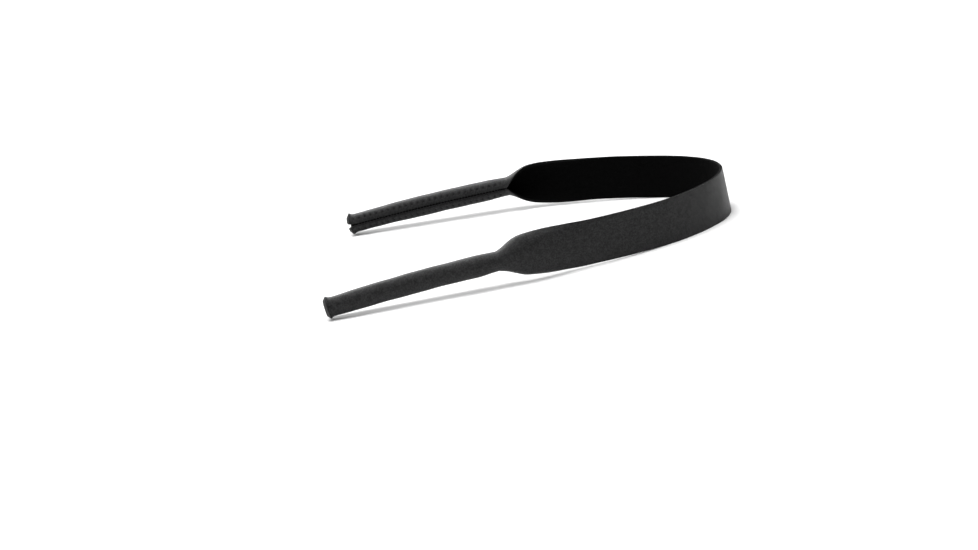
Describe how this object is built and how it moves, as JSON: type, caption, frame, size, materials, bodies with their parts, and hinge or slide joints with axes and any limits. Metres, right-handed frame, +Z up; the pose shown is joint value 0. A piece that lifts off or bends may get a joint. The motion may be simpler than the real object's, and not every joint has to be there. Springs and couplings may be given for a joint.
{
  "type": "eyeglass retainer strap",
  "caption": "Soft foam eyeglass retainer strap: a flat neck band whose ends roll into zigzag-seamed sleeves that push onto the temple arms of glasses.",
  "frame": {"origin": "bottom centre of the bounding box, on the surface that the strap stands on", "axes": "+X to the wearer's left, +Y back from the glasses to the nape of the neck, +Z up; the sleeves' mouths open towards -Y"},
  "size_m": [0.1486, 0.174, 0.0214],
  "materials": {
    "outer_knit": "matt charcoal jersey knit",
    "foam": "matt closed-cell foam",
    "lining": "matt black jersey knit",
    "thread": "satin polyester thread"
  },
  "bodies": {
    "back_band": {"back_foam": "foam", "back_lining": "lining", "back_outer_knit": "outer_knit"},
    "left_band": {"left_band_foam": "foam", "left_band_lining": "lining", "left_band_outer_knit": "outer_knit"},
    "left_sleeve": {"left_sleeve_foam": "foam", "left_sleeve_lining": "lining", "left_sleeve_outer_knit": "outer_knit", "left_seam_needle_thread": "thread", "left_seam_looper_thread": "thread"},
    "right_band": {"right_band_foam": "foam", "right_band_lining": "lining", "right_band_outer_knit": "outer_knit"},
    "right_sleeve": {"right_sleeve_foam": "foam", "right_sleeve_lining": "lining", "right_sleeve_outer_knit": "outer_knit", "right_seam_needle_thread": "thread", "right_seam_looper_thread": "thread"}
  },
  "joints": [
    {"name": "left_band_flex", "type": "hinge", "parent": "back_band", "child": "left_band", "pos_m": [0.04004, 0.05991, 0.0096], "axis": [0, 0, 1], "range_deg": [-10, 35], "stiffness_Nm_per_rad": 0.0003},
    {"name": "left_sleeve_flex", "type": "hinge", "parent": "left_band", "child": "left_sleeve", "pos_m": [0.06005, 0.01635, 0.0113], "axis": [0, 0, 1], "range_deg": [-18, 45], "stiffness_Nm_per_rad": 0.0003},
    {"name": "right_band_flex", "type": "hinge", "parent": "back_band", "child": "right_band", "pos_m": [-0.04004, 0.05991, 0.0096], "axis": [0, 0, -1], "range_deg": [-10, 35], "stiffness_Nm_per_rad": 0.0003},
    {"name": "right_sleeve_flex", "type": "hinge", "parent": "right_band", "child": "right_sleeve", "pos_m": [-0.06005, 0.01635, 0.0113], "axis": [0, 0, -1], "range_deg": [-18, 45], "stiffness_Nm_per_rad": 0.0003}
  ]
}
